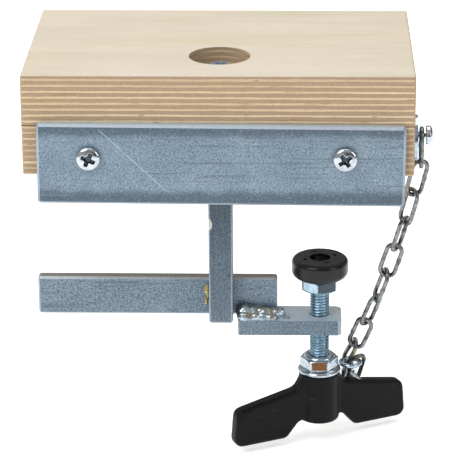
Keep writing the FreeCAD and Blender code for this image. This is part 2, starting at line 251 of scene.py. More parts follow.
def birch_plywood():
    """Birch plywood: pale long-grain faces, and edges of thin crossed plies."""
    f = Finish("birch_plywood", Specular_IOR_Level=0.3)
    ply = BOARD / PLIES
    height = f.axis(f.place, "Z")
    wave = f.wobble(0.5 * MM, 14, 2)
    ripple = f.wobble(0.9 * MM, 1.0, 3, 0.6, f.stretched((38, 38, 700)))
    level = f.math("DIVIDE", f.plus(f.plus(height, wave), ripple), ply)
    number = f.math("FLOOR", level)
    within = f.math("FRACT", level)
    crossed = f.math("MODULO", f.size(number), 2.0)
    sideways = f.size(f.axis(f.normal, "X"))
    end_grain = f.size(f.minus(crossed, f.math("POWER", sideways, 2.0)))
    from_middle = f.size(f.minus(within, 0.5))
    frayed = f.plus(from_middle, f.wobble(0.35, 420, 3, 0.7))
    end_grain = f.math("MAXIMUM", end_grain, f.span(frayed, 0.26, 0.36, 0.0, 0.85))

    layer_seed = f.tree.nodes.new("ShaderNodeTexWhiteNoise")
    layer_seed.noise_dimensions = "1D"
    f.feed(layer_seed, "W", number)
    shade = layer_seed.outputs["Value"]
    streaks = f.noise(1.0, 4, 0.65, f.stretched((22, 22, 1500)))
    pores = f.noise(1500, 3, 0.8)
    long_grain = f.blend(streaks, srgb(228, 210, 174), srgb(196, 172, 136))
    across = f.blend(f.span(pores, 0.35, 0.65), srgb(178, 152, 128), srgb(140, 114, 94))
    across = f.blend(f.times(shade, 0.5), across, srgb(184, 160, 130))
    edge = f.blend(end_grain, long_grain, across)
    core = f.times(f.span(from_middle, 0.30, 0.10), shade)
    edge = f.blend(f.times(core, 0.75), edge, srgb(164, 138, 108))
    glue = f.math("MAXIMUM", f.span(within, 0.16, 0.02), f.span(within, 0.84, 0.98))
    edge = f.blend(f.times(glue, f.times(shade, 0.8)), edge, srgb(136, 102, 68))
    dust = f.span(pores, 0.56, 0.68, 0.0, 0.55)
    edge = f.blend(dust, edge, srgb(226, 210, 178))
    blotches = f.span(f.noise(1.0, 3, 0.6, f.stretched((60, 60, 420))), 0.60, 0.75, 0.0, 0.5)
    edge = f.blend(blotches, edge, srgb(150, 114, 78))
    knots = f.span(f.cells(1.0, f.stretched((45, 45, 330))), 0.10, 0.03, 0.0, 0.8)
    edge = f.blend(knots, edge, srgb(98, 70, 48))
    # the glue line between the two boards, which meet one board's height above the frame's zero
    joint = f.span(f.size(f.minus(f.plus(height, wave), BOARD)), 0.5 * MM, 0.1 * MM)
    broken = f.span(f.noise(90, 3), 0.45, 0.6, 0.3, 0.9)
    edge = f.blend(f.times(joint, broken), edge, srgb(84, 60, 42))

    figure = f.noise(1.0, 6, 0.6, f.stretched((7, 60, 60)), 0.8)
    fibres = f.noise(1.0, 3, 0.7, f.stretched((90, 1100, 1100)))
    patches = f.noise(1.0, 3, 0.5, f.stretched((14, 24, 24)))
    face = f.blend(f.span(figure, 0.3, 0.8), srgb(210, 200, 184), srgb(200, 187, 162))
    face = f.blend(f.span(patches, 0.42, 0.72, 0.0, 0.55), face, srgb(196, 188, 168))
    face = f.blend(f.span(fibres, 0.5, 0.8, 0.0, 0.4), face, srgb(178, 160, 132))
    face = f.blend(f.span(pores, 0.62, 0.72, 0.0, 0.2), face, srgb(160, 140, 112))
    upright = f.span(f.size(f.axis(f.normal, "Z")), 0.55, 0.85)
    f.color(f.blend(upright, edge, face))
    f.rough(f.span(fibres, 0.2, 0.8, 0.55, 0.75))
    relief = f.plus(f.times(end_grain, -0.5), f.times(pores, 0.5))
    f.bump(relief, 0.12 * MM, 0.5)
    return f.material


# noise scales that draw rolling lines along a bar's length
ALONG_X = (25, 900, 900)
ALONG_Z = (900, 900, 25)


def zinc_plate(name, tone, upper=None, plate_box=None, rolled=ALONG_X, chip=None, grit=1.0):
    """Dull blue zinc over hot-rolled steel: a fine speckle, soft clouds, lines along the rolling
    direction and a few scratches. upper is a colour painted on the top faces as painted light and
    shade, plate_box the box of a plate with darker upper and lower bands, chip the place of a bare
    spot and grit how strong the speckle is."""
    f = Finish(name, Metallic=0.5, Specular_IOR_Level=0.4)
    speckle = f.noise(1700, 3, 0.85)
    grains = f.noise(1000, 2, 0.7)
    clouds = f.noise(42, 4, 0.6)

    def shade(*color):
        return tuple(c * tone for c in srgb(*color))

    base = f.blend(f.span(clouds, 0.3, 0.7), shade(136, 157, 174), shade(152, 172, 188))
    if plate_box:
        low, high = plate_box
        z = f.axis(f.place, "Z")
        z = f.plus(z, f.wobble(5 * MM, 110, 4, 0.7))
        top = f.span(z, high.z - 8 * MM, high.z - 3.5 * MM)
        bottom = f.span(z, low.z + 10 * MM, low.z + 5 * MM)
        band = f.math("MAXIMUM", top, bottom)
        base = f.blend(f.times(band, 0.78), base, shade(80, 95, 108))
    base = f.blend(f.span(speckle, 0.48, 0.62, 0.0, 0.8), base, shade(66, 80, 92))
    base = f.blend(f.span(grains, 0.54, 0.64, 0.0, 0.5 * grit), base, shade(84, 98, 110))
    base = f.blend(f.span(grains, 0.44, 0.34, 0.0, 0.3 * grit), base, shade(180, 200, 216))
    lines = f.span(f.noise(1.0, 3, 0.6, f.stretched(rolled)), 0.55, 0.68, 0.0, 0.5)
    base = f.blend(lines, base, shade(88, 100, 110))
    slanting = f.noise(1.0, 2, 0.5, f.stretched((25, 25, 900), (0, 0.72, 0)))
    base = f.blend(f.span(slanting, 0.70, 0.74, 0.0, 0.25), base, shade(180, 198, 212))
    if plate_box:
        start = (low.x + 29 * MM, high.z - 1.5 * MM)
        end = (low.x + 64 * MM, low.z + 6 * MM)
        scratch = f.scratch(start, end, 0.42 * MM)
        base = f.blend(f.times(scratch, 0.6), base, shade(176, 200, 220))
    # painted light and shade: faces turned up take the upper colour, lighter on the plate and arm and a
    # darker brown-grey on the bar
    if upper:
        facing_up = f.span(f.axis(f.normal, "Z"), 0.6, 0.9)
        top_light_and_shade = f.blend(f.span(grains, 0.5, 0.7, 0.0, 0.3), srgb(*upper), base)
        base = f.blend(facing_up, base, top_light_and_shade)
    # painted highlight: the chamfers and rounds are lightened towards a pale blue-white
    base = f.blend(f.times(f.bevels(), 0.35), base, srgb(216, 226, 236))
    if chip:
        base = f.blend(f.patch(chip, (1.9 * MM, 3 * MM, 3.2 * MM)), base, srgb(214, 214, 208))
    f.color(base)
    f.rough(f.span(speckle, 0.3, 0.7, 0.40, 0.60))
    f.bump(speckle, 0.05 * MM, 0.6)
    return f.material


def bright_zinc(name, base, rough=(0.10, 0.24), dark_flats=None, stain_box=None):
    """Shiny blue zinc on small hardware. dark_flats is a hexagon's turn and the height that its
    flats painted darker as painted shade start at; stain_box is the box of a nut with one rusty flat."""
    f = Finish(name, Metallic=1.0)
    clouds = f.noise(260, 3, 0.6)
    marks = f.noise(1500, 3, 0.7)
    tint = f.blend(f.span(clouds, 0.3, 0.7), srgb(*base), tuple(c * 0.72 for c in srgb(*base)))
    color = f.blend(f.span(marks, 0.62, 0.75, 0.0, 0.45), tint, srgb(104, 116, 124))
    # painted shade: thread valleys, recesses and other inner corners are darkened towards a dark teal
    color = f.blend(f.times(f.crevices(0.495, 0.44), 0.9), color, srgb(28, 42, 52))
    roughness = f.span(marks, 0.3, 0.7, *rough)
    if dark_flats:
        turn, bottom = dark_flats
        upright = f.span(f.size(f.axis(f.normal, "Z")), 0.5, 0.2)
        above = f.span(f.axis(f.place, "Z"), bottom, bottom + 0.2 * MM)
        # painted shade: every other flat of the hexagon head is darkened towards a dark slate
        flat_shade = f.times(f.times(upright, above), f.other_flats(turn))
        color = f.blend(f.times(flat_shade, 0.93), color, srgb(52, 58, 64))
    if stain_box:
        low, high = stain_box
        middle = (low + high) / 2
        ragged = f.wobble(1.6 * MM, 700, 3, 0.7)
        aside = f.plus(f.size(f.minus(f.axis(f.place, "X"), middle.x)), ragged)
        across = f.span(aside, 4.2 * MM, 3.7 * MM)
        z = f.plus(f.axis(f.place, "Z"), ragged)
        up = f.times(f.span(z, low.z + 2.9 * MM, low.z + 3.5 * MM),
                    f.span(z, high.z - 1.7 * MM, high.z - 2.3 * MM))
        front = f.span(f.axis(f.normal, "Y"), -0.93, -0.985)
        stain = f.times(f.times(across, up), front)
        rust = f.blend(f.noise(900, 2), srgb(150, 104, 66), srgb(92, 68, 52))
        color = f.blend(stain, color, rust)
        roughness = f.plus(roughness, f.times(stain, 0.35))
    f.color(color)
    f.rough(roughness)
    f.bump(marks, 0.02 * MM, 0.4)
    return f.material


def chain_steel():
    """Dull zinc chain wire with olive and yellow passivation stains."""
    f = Finish("chain_steel", Metallic=1.0)
    clouds = f.noise(330, 3, 0.6)
    pits = f.noise(2000, 2, 0.7)
    base = f.blend(f.span(clouds, 0.3, 0.7), srgb(146, 150, 150), srgb(84, 87, 85))
    base = f.blend(f.span(f.noise(190, 2), 0.56, 0.70, 0.0, 0.6), base, srgb(146, 138, 92))
    f.color(f.blend(f.span(pits, 0.56, 0.68, 0.0, 0.7), base, srgb(44, 46, 45)))
    f.rough(f.span(clouds, 0.3, 0.7, 0.18, 0.36))
    f.bump(pits, 0.05 * MM, 0.7)
    return f.material


def black_rubber():
    """Smooth black rubber with a faint bloom and a soft shine."""
    f = Finish("black_rubber", Specular_IOR_Level=0.34)
    grain = f.noise(1400, 3, 0.7)
    bloom = f.noise(160, 3, 0.6)
    f.color(f.blend(f.span(bloom, 0.4, 0.75), srgb(11, 13, 16), srgb(20, 23, 27)))
    f.rough(f.span(bloom, 0.3, 0.7, 0.24, 0.34))
    f.bump(grain, 0.02 * MM, 0.35)
    return f.material


def black_plastic():
    """Moulded black plastic with a fine spark-eroded grain and a parting line round its rim."""
    f = Finish("black_plastic", Specular_IOR_Level=0.14)
    grain = f.noise(2100, 3, 0.7)
    haze = f.noise(60, 3, 0.6)
    rubbed = f.noise(1.0, 3, 0.6, f.stretched((90, 90, 420), (0, 0.3, 0.46)))
    scuffs = f.span(rubbed, 0.63, 0.70, 0.0, 0.5)
    base = f.blend(f.span(haze, 0.35, 0.7), srgb(9, 10, 12), srgb(16, 17, 20))
    base = f.blend(scuffs, base, srgb(38, 40, 44))
    # painted highlight: the outer edges are lightened towards grey
    f.color(f.blend(f.outer_edges(0.52, 0.60), base, srgb(40, 42, 46)))
    f.rough(f.span(grain, 0.3, 0.7, 0.30, 0.46))
    middle = centre_of("handle_insert")
    x = f.minus(f.axis(f.place, "X"), middle.x)
    y = f.minus(f.axis(f.place, "Y"), middle.y)
    aside = f.minus(f.times(x, math.sin(WING_TURN)), f.times(y, math.cos(WING_TURN)))
    seam = f.span(f.size(aside), 0.28 * MM, 0.08 * MM)
    f.bump(f.plus(f.times(grain, 0.25), seam), 0.15 * MM, 0.45)
    return f.material


def weld_steel():
    """Plated-over weld metal: bright bluish beads with brown heat tints."""
    f = Finish("weld_steel", Metallic=1.0)
    clouds = f.noise(420, 3, 0.6)
    base = f.blend(f.span(clouds, 0.35, 0.65), srgb(192, 206, 216), srgb(140, 154, 164))
    base = f.blend(f.span(f.noise(230, 3), 0.54, 0.66, 0.0, 0.65), base, srgb(146, 122, 88))
    # painted shade: the hollows between the weld beads are darkened
    base = f.blend(f.times(f.crevices(0.46, 0.38), 0.5), base, srgb(64, 70, 74))
    f.color(base)
    f.rough(f.span(clouds, 0.3, 0.7, 0.24, 0.42))
    f.bump(f.noise(800, 3, 0.7), 0.04 * MM, 0.4)
    return f.material


def weld_spatter():
    """Yellow passivated spatter beside the weld."""
    f = Finish("weld_spatter", Metallic=0.6)
    clouds = f.noise(600, 3, 0.6)
    f.color(f.blend(f.span(clouds, 0.35, 0.65), srgb(206, 184, 120), srgb(150, 140, 104)))
    f.rough(f.span(clouds, 0.3, 0.7, 0.3, 0.5))
    f.bump(clouds, 0.1 * MM, 0.5)
    return f.material


# the bolt's head: the angle that its first flat faces, and the height of its underside
BOLT_TURN = math.radians(54)
BOLT_HEAD_BOTTOM = corners("clamp_bolt")[1].z - 6.5 * MM
# the bare spot on the post's front left edge
POST_CHIP = corners("post")[0] + Vector((0, 0, 53 * MM))

FINISHES = {
    "plywood": birch_plywood(),
    "plate": zinc_plate("zinc_plate", 0.88, (190, 204, 216), corners("front_plate")),
    "bar": zinc_plate("zinc_bar", 0.76, (142, 140, 134), grit=1.7),
    # painted shade: the post's zinc is a much darker copy of the others, standing for the shade under the
    # block
    "post": zinc_plate("zinc_post", 0.48, rolled=ALONG_Z, chip=POST_CHIP, grit=1.5),
    "zinc_steel": zinc_plate("zinc_steel", 0.62, (206, 220, 230), grit=1.9),
    "bright_zinc": bright_zinc("bright_zinc", (178, 198, 212)),
    "bolt": bright_zinc("bolt_zinc", (174, 200, 216), dark_flats=(BOLT_TURN + math.pi / 3, BOLT_HEAD_BOTTOM)),
    "stained_nut": bright_zinc("stained_nut", (196, 210, 220), stain_box=corners("lock_nut")),
    "chrome": bright_zinc("screw_plating", (204, 210, 216), (0.06, 0.15)),
    # painted shade: the cross recesses get a darker, rougher zinc, its darkness standing for shade
    "recess": bright_zinc("painted_recess_shade", (70, 84, 92), (0.2, 0.4)),
    "chain_steel": chain_steel(),
    "rubber": black_rubber(),
    "black_plastic": black_plastic(),
    "weld_steel": weld_steel(),
    "spatter": weld_spatter(),
}


# --- mesh building blocks ------------------------------------------------------------------------
def add_object(name, mesh, body, slot, finish, *nodes):
    """Puts a mesh in the scene as a piece that rides a body and stands for CAD nodes."""
    piece = bpy.data.objects.new(name, mesh)
    bpy.context.collection.objects.link(piece)
    mesh.materials.clear()
    mesh.materials.append(FINISHES[finish])
    for polygon in mesh.polygons:
        polygon.use_smooth = True
    if nodes:
        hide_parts(*nodes)
    if body:
        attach(piece, body)
    return piece


def mesh_from(name, parts):
    """One mesh from several (points, faces) lists."""
    points, faces = [], []
    for part_points, part_faces in parts:
        start = len(points)
        points += [tuple(p) for p in part_points]
        faces += [[i + start for i in face] for face in part_faces]
    mesh = bpy.data.meshes.new(name)
    mesh.from_pydata(points, [], faces)
    mesh.validate()
    build = bmesh.new()
    build.from_mesh(mesh)
    bmesh.ops.recalc_face_normals(build, faces=build.faces)
    build.to_mesh(mesh)
    build.free()
    return mesh


def skin(rings, looped=False):
    """A closed skin over rings of equal length; looped joins the last ring to the first."""
    count = len(rings[0])
    points = [p for ring in rings for p in ring]
    faces = []
    last = len(rings) if looped else len(rings) - 1
    for i in range(last):
        here, there = i * count, (i + 1) % len(rings) * count
        for j in range(count):
            k = (j + 1) % count
            faces.append([here + j, here + k, there + k, there + j])
    if not looped:
        for start in (0, (len(rings) - 1) * count):
            middle = len(points)
            points.append(sum((Vector(p) for p in points[start:start + count]), Vector()) / count)
            faces += [[start + j, start + (j + 1) % count, middle] for j in range(count)]
    return points, faces


# M10 hardware: the thread's outer radius and pitch, and its hexagons' width across flats
M10_CREST = 4.93 * MM
M10_PITCH = 1.5 * MM
M10_FLATS = 17.2 * MM


def circle(centre, radius, z, around):
    """A level ring of points round an upright axis through centre."""
    angles = [2 * math.pi * j / around for j in range(around)]
    return [(centre.x + radius * math.cos(a), centre.y + radius * math.sin(a), z) for a in angles]


def thread(centre, z0, z1, crest, pitch, around=56, steps_a_turn=12, chamfer=0.9 * MM):
    """A right-hand threaded rod between two heights, chamfered at its ends."""
    depth = 0.6134 * pitch
    rings = []
    count = int((z1 - z0) / pitch * steps_a_turn) + 1
    for i in range(count + 1):
        z = z0 + (z1 - z0) * i / count
        room = min(z - z0, z1 - z, chamfer)
        limit = crest - (chamfer - room)
        ring = []
        for j in range(around):
            angle = 2 * math.pi * j / around
            phase = (z / pitch - j / around) % 1.0
            rise = min(max(abs(phase - 0.5) * 2 * 1.30 - 0.10, 0.0), 1.0)
            radius = min(crest - depth * (1 - rise), limit)
            ring.append((centre.x + radius * math.cos(angle), centre.y + radius * math.sin(angle), z))
        rings.append(ring)
    return skin(rings)


def turned(centre, profile):
    """A solid of revolution about an upright axis through centre, from (radius, height) pairs."""
    return skin([circle(centre, radius, z, 72) for radius, z in profile])


def hexagon(centre, z0, z1, turn):
    """A hexagonal M10 head with slightly rounded corners and 30 degree chamfers at both ends."""
    flat = M10_FLATS / 2
    around = 96
    rim = 0.8 * MM

    def reach(angle):
        nearest = (angle - turn + math.pi / 6) % (math.pi / 3) - math.pi / 6
        sharp = flat / math.cos(nearest)
        return min(sharp, flat * 1.135)

    def ring(z, drop):
        points = []
        for j in range(around):
            angle = 2 * math.pi * j / around
            radius = reach(angle)
            fall = max(radius - flat * 0.97, 0.0) * math.tan(math.radians(30)) * drop
            x = centre.x + radius * math.cos(angle)
            y = centre.y + radius * math.sin(angle)
            points.append((x, y, z + fall))
        return points

    return skin([circle(centre, flat * 0.95, z0, around), ring(z0, 1.0), ring(z0 + rim, 1.0),
                 ring(z1 - rim, -1.0), ring(z1, -1.0), circle(centre, flat * 0.95, z1, around)])


def driver_recess(x, y, radius):
    """How deep a cross recess is at a point of a screw head, 0 to 1."""
    def fade(value, edge, soft):
        return min(max((edge - value) / soft + 0.5, 0.0), 1.0)

    narrow, wide = sorted((abs(x), abs(y)))
    arm = fade(narrow, radius * 0.15, radius * 0.07) * fade(wide, radius * 0.58, radius * 0.10)
    well = fade(math.hypot(x, y), radius * 0.27, radius * 0.10)
    slope = 1.0 - 0.45 * min(wide / (radius * 0.58), 1.0)
    return max(arm * slope, well)


def pan_screw(seat, direction, turn, radius, height, shank, length):
    """A pan-head screw: domed head with a cross recess, and a threaded, pointed shank."""
    around = 120
    steps = 42
    rings = []
    for i in range(1, steps + 1):
        r = radius * i / steps
        rise = height * (0.46 + 0.54 * math.sqrt(max(1 - (i / steps) ** 2.4, 0.0)))
        ring = []
        for j in range(around):
            angle = 2 * math.pi * j / around
            x, y = r * math.cos(angle), r * math.sin(angle)
            ring.append((x, y, rise - height * 0.62 * driver_recess(x, y, radius)))
        rings.append(ring)
    for share, z in ((1.0, 0.30), (0.99, 0.10), (0.96, 0.0)):
        rings.append(circle(Vector(), radius * share, height * z, around))
    head = skin(rings)
    rod = thread(Vector(), -length, 0.3 * MM, shank, shank * 0.9, 24, 8, shank * 0.8)
    spin = Matrix.Rotation(turn, 4, "Z")
    stand = direction.to_track_quat("Z", "Y").to_matrix().to_4x4()
    place = Matrix.Translation(seat) @ stand @ spin
    return [([place @ Vector(p) for p in points], faces) for points, faces in (head, rod)], place


def darken_recess(piece, place, radius, height):
    """Gives the faces inside a screw's cross recess their own rougher, darker finish, the darkness a painted
    shade.
    """
    inward = place.inverted()
    if len(piece.data.materials) < 2:
        piece.data.materials.append(FINISHES["recess"])
    for polygon in piece.data.polygons:
        spot = inward @ polygon.center
        if spot.xy.length < 0.66 * radius and 0.2 * height < spot.z < 1.1 * height:
            if driver_recess(spot.x, spot.y, radius) > 0.35:
                polygon.material_index = 1


def rounded_square(centre, half, radius, z):
    """A horizontal ring round a square bar with rounded corners."""
    steps = 5
    ring = []
    for quarter in range(4):
        base = math.pi / 2 * quarter
        corner = Vector((half - radius, half - radius, 0))
        corner.rotate(Matrix.Rotation(base, 3, "Z"))
        for k in range(steps + 1):
            angle = base + math.pi / 2 * k / steps
            ring.append((centre.x + corner.x + radius * math.cos(angle),
                         centre.y + corner.y + radius * math.sin(angle), z))
    return ring


def round_rims(mesh, centre, radius):
    """Rounds the upper and lower rims of an upright disc shape, by moving points inwards."""
    low = min(v.co.z for v in mesh.vertices)
    high = max(v.co.z for v in mesh.vertices)
    edge = max((v.co - centre).xy.length for v in mesh.vertices)
    for vertex in mesh.vertices:
        arm = (vertex.co - centre).xy
        out = arm.length - (edge - radius)
        up = max(vertex.co.z - (high - radius), low + radius - vertex.co.z)
        reach = math.hypot(out, up)
        if out > 0 and up > 0 and reach > radius:
            spread = (edge - radius + out * radius / reach) / arm.length
            vertex.co.x = centre.x + arm.x * spread
            vertex.co.y = centre.y + arm.y * spread
            middle_side = -1 if vertex.co.z > (low + high) / 2 else 1
            vertex.co.z += middle_side * up * (1 - radius / reach)


def melt(piece, voxel, rounds):
    """Turns a piece into one smoothed skin and keeps its material."""
    remesh = piece.modifiers.new("remesh", "REMESH")
    remesh.mode = "VOXEL"
    remesh.voxel_size = voxel
    remesh.use_smooth_shade = True
    smooth = piece.modifiers.new("smooth", "SMOOTH")
    smooth.factor = 0.5
    smooth.iterations = rounds
    graph = bpy.context.evaluated_depsgraph_get()
    baked = bpy.data.meshes.new_from_object(piece.evaluated_get(graph))
    material = piece.data.materials[0]
    piece.modifiers.clear()
    piece.data = baked
    baked.materials.clear()
    baked.materials.append(material)


def softened(node, name, voxel, rounds, body, slot, finish, rim=0.0):
    """A piece from a CAD node's shape with its edges melted, as moulding leaves them."""
    piece = add_object(name, frame["nodes"][node].data.copy(), None, slot, finish, node)
    melt(piece, voxel, rounds)
    if rim:
        round_rims(piece.data, centre_of(node), rim)
    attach(piece, body)


# --- carried-over CAD nodes ------------------------------------------------------------------------
def finish_cad_nodes():
    """Gives each CAD node that still shows its finish."""
    own = {"front_plate": "plate", "lower_bar": "bar"}
    slots = {row["node"]: row["material_slot"] for row in frame["record"]["subparts"]}
    for node, obj in frame["nodes"].items():
        finish = own.get(node, slots[node])
        obj.data.materials.clear()
        obj.data.materials.append(FINISHES[finish])
        for polygon in obj.data.polygons:
            polygon.material_index = 0


# --- pieces --------------------------------------------------------------------------------------------
def build_post():
    """The square post, its rounded lower end and its threaded stud."""
    low, high = corners("post")
    centre = (low + high) / 2
    half = (high.x - low.x) / 2
    shoulder = corners("bearing_washer")[0].z
    rings = []
    for inset, z in ((1.2 * MM, low.z), (0.45 * MM, low.z + 0.25 * MM), (0.0, low.z + 1.1 * MM),
                     (0.0, shoulder - 0.5 * MM), (0.4 * MM, shoulder)):
        rings.append(rounded_square(centre, half - inset, 1.1 * MM, z))
    stud = thread(centre, shoulder - 1 * MM, high.z, M10_CREST, M10_PITCH)
    mesh = mesh_from("post_and_stud", [skin(rings), stud])
    add_object("post_and_stud", mesh, "root", "zinc_steel", "post", "post")


def build_clamp_bolt():
    """The hexagon bolt that carries the pad, with its real M10 thread."""
    low, high = corners("clamp_bolt")
    centre = (low + high) / 2
    head = hexagon(centre, BOLT_HEAD_BOTTOM, high.z, BOLT_TURN)
    shank = thread(centre, low.z, BOLT_HEAD_BOTTOM + 0.6 * MM, M10_CREST, M10_PITCH, chamfer=0.7 * MM)
    mesh = mesh_from("clamp_bolt_threaded", [head, shank])
    add_object("clamp_bolt_threaded", mesh, "screw", "bright_zinc", "bolt", "clamp_bolt")


def add_screws(name, body, node, radius, height, shank, length, places):
    """A piece of pan-head screws, one for each (seat, direction, turn)."""
    parts, stands = [], []
    for seat, direction, turn in places:
        screw, stand = pan_screw(seat, direction, turn, radius, height, shank, length)
        parts += screw
        stands.append(stand)
    piece = add_object(name, mesh_from(name, parts), body, "bright_zinc", "chrome", node)
    for stand in stands:
        darken_recess(piece, stand, radius, height)


def build_screws():
    """The pan-head screws of the plate, the chain's anchor, the handle and the pad."""
    low, high = corners("plate_screws")
    radius, height = 5.8 * MM, 3.4 * MM
    forward = Vector((0, -1, 0))
    left = Vector((low.x + radius, low.y + height, high.z - radius))
    right = Vector((high.x - radius, left.y, left.z))
    add_screws("plate_screw_pair", "root", "plate_screws", radius, height, 2.35 * MM, 33 * MM,
               [(left, forward, 1.15), (right, forward, 0.6)])

    low, high = corners("anchor_screw")
    middle = (low + high) / 2
    seat = Vector((high.x - 3.6 * MM, middle.y, middle.z))
    add_screws("anchor_screw_threaded", "root", "anchor_screw", 4.75 * MM, 3.6 * MM, 1.9 * MM, 27.5 * MM,
               [(seat, Vector((1, 0, 0)), 0.2)])

    low, high = corners("pad_screw")
    middle = (low + high) / 2
    seat = Vector((middle.x, middle.y, high.z - 2.6 * MM))
    add_screws("pad_screw_threaded", "pad", "pad_screw", 4.2 * MM, 2.6 * MM, 2.45 * MM, seat.z - low.z,
               [(seat, Vector((0, 0, 1)), 0.5)])

    # the keeper screw stands square to the back of the wing, its head at the rear
    rear = Vector((-math.sin(WING_TURN), math.cos(WING_TURN), 0))
    points = [v.co for v in frame["nodes"]["handle_screw"].data.vertices]
    crown = max(points, key=lambda p: p.dot(rear))
    reach = [p.dot(rear) for p in points]
    low, high = corners("handle_screw")
    head = [p for p in points if p.dot(rear) > max(reach) - 2.8 * MM]
    middle = sum(head, Vector()) / len(head)
    seat = middle + rear * (crown.dot(rear) - 2.8 * MM - middle.dot(rear))
    seat.z = (low.z + high.z) / 2
    add_screws("keeper_screw_threaded", "screw", "handle_screw", 4.6 * MM, 2.8 * MM, 1.9 * MM,
               max(reach) - min(reach) - 3.0 * MM, [(seat, rear, 0.5)])


def build_lock_nut():
    """The flange nut under the arm: rounded flange, hexagon and a crimped crown."""
    low, high = corners("lock_nut")
    centre = (low + high) / 2
    flange = [(9.0, 0.0), (10.3, 0.05), (10.8, 0.35), (11.0, 0.95),
              (10.85, 1.6), (10.3, 2.15), (9.3, 2.55), (8.2, 2.8)]
    skirt = turned(centre, [(r * MM, low.z + z * MM) for r, z in flange])
    body = hexagon(centre, low.z + 2.0 * MM, high.z - 1.3 * MM, math.radians(30))
    crown = [(8.0, -2.2), (7.9, -1.3), (7.5, -0.5), (6.7, -0.08), (5.9, 0.0), (5.3, -0.25), (5.1, -1.0)]
    top = turned(centre, [(r * MM, high.z + z * MM) for r, z in crown])
    mesh = mesh_from("lock_nut_flanged", [skirt, body, top])
    add_object("lock_nut_flanged", mesh, "screw", "bright_zinc", "stained_nut", "lock_nut")


def link_frame(node):
    """Centre, long direction and wide direction of a chain link, from its CAD mesh."""
    points = np.array([v.co[:] for v in frame["nodes"][node].data.vertices])
    middle = points.mean(axis=0)
    axes = np.linalg.eigh(np.cov((points - middle).T))[1]
    long, wide = Vector(axes[:, 2]), Vector(axes[:, 1])
    reach = (points - middle) @ axes[:, 2]
    centre = Vector(middle) + long * (reach.max() + reach.min()) / 2
    return centre, long, wide


def link_mesh(name, centre, long, wide, dice):
    """A welded oval link: round wire, a swollen butt weld on one leg and a slightly uneven form."""
    wire, bend, half_length = 1.15 * MM, 3.75 * MM, 10.65 * MM
    half = half_length - wire - bend
    normal = long.cross(wide)
    path = []
    for k in range(12):
        path.append((bend, -half + 2 * half * k / 12))
    for k in range(14):
        angle = math.pi * k / 14
        path.append((bend * math.cos(angle), half + bend * math.sin(angle)))
    for k in range(12):
        path.append((-bend, half - 2 * half * k / 12))
    for k in range(14):
        angle = math.pi + math.pi * k / 14
        path.append((bend * math.cos(angle), -half + bend * math.sin(angle)))
    weld_at = dice.uniform(-1.0, 1.0) * MM
    weld_side = dice.choice((-1, 1))
    rings = []
    for i, (x, y) in enumerate(path):
        ahead, behind = path[(i + 1) % len(path)], path[i - 1]
        run = Vector((ahead[0] - behind[0], ahead[1] - behind[1])).normalized()
        outward = Vector((run.y, -run.x))
        swell = 0.0
        if x * weld_side > 0:
            swell = 0.16 * math.exp(-((y - weld_at) / (1.1 * MM)) ** 2)
            swell -= 0.07 * math.exp(-((y - weld_at - 2.1 * MM) / (0.8 * MM)) ** 2)
        radius = wire * (1 + swell - 0.004)
        ring = []
        for j in range(16):
            angle = 2 * math.pi * j / 16
            flat_x = x + outward.x * radius * math.cos(angle)
            flat_y = y + outward.y * radius * math.cos(angle)
            ring.append(centre + wide * flat_x + long * flat_y + normal * radius * math.sin(angle))
        rings.append(ring)
    return mesh_from(name, [skin(rings, looped=True)])


def build_chain():
    """Every link as its own piece; links whose centres hang no higher than the ninth link's top ride the pad,
    the rest stay put.
    """
    dice = random.Random(11)
    names = ["chain_link_%d" % k for k in range(1, 10)] + ["chain_end_link"]
    start = centre_of("anchor_screw")
    start = Vector((start.x, start.y, corners("chain_link_1")[1].z))
    end = Vector((start.x, start.y, corners("chain_link_9")[1].z))
    for node in names:
        centre, long, wide = link_frame(node)
        mesh = link_mesh(node + "_wire", centre, long, wide, dice)
        piece = add_object(node + "_wire", mesh, None, "chain_steel", "chain_steel", node)
        if centre.z > end.z:
            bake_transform(piece)
        else:
            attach(piece, "pad")


def blob(centre, radii, seed, amount):
    """A lumpy drop of weld metal."""
    build = bmesh.new()
    bmesh.ops.create_icosphere(build, subdivisions=3, radius=1.0)
    for vertex in build.verts:
        lump = noise.noise(vertex.co * 1.7 + Vector((seed, seed * 0.7, 0)))
        vertex.co = vertex.co * (1 + amount * lump)
    index = {v: i for i, v in enumerate(build.verts)}
    points = [centre + v.co * Vector(radii) for v in build.verts]
    faces = [[index[v] for v in face.verts] for face in build.faces]
    build.free()
    return points, faces


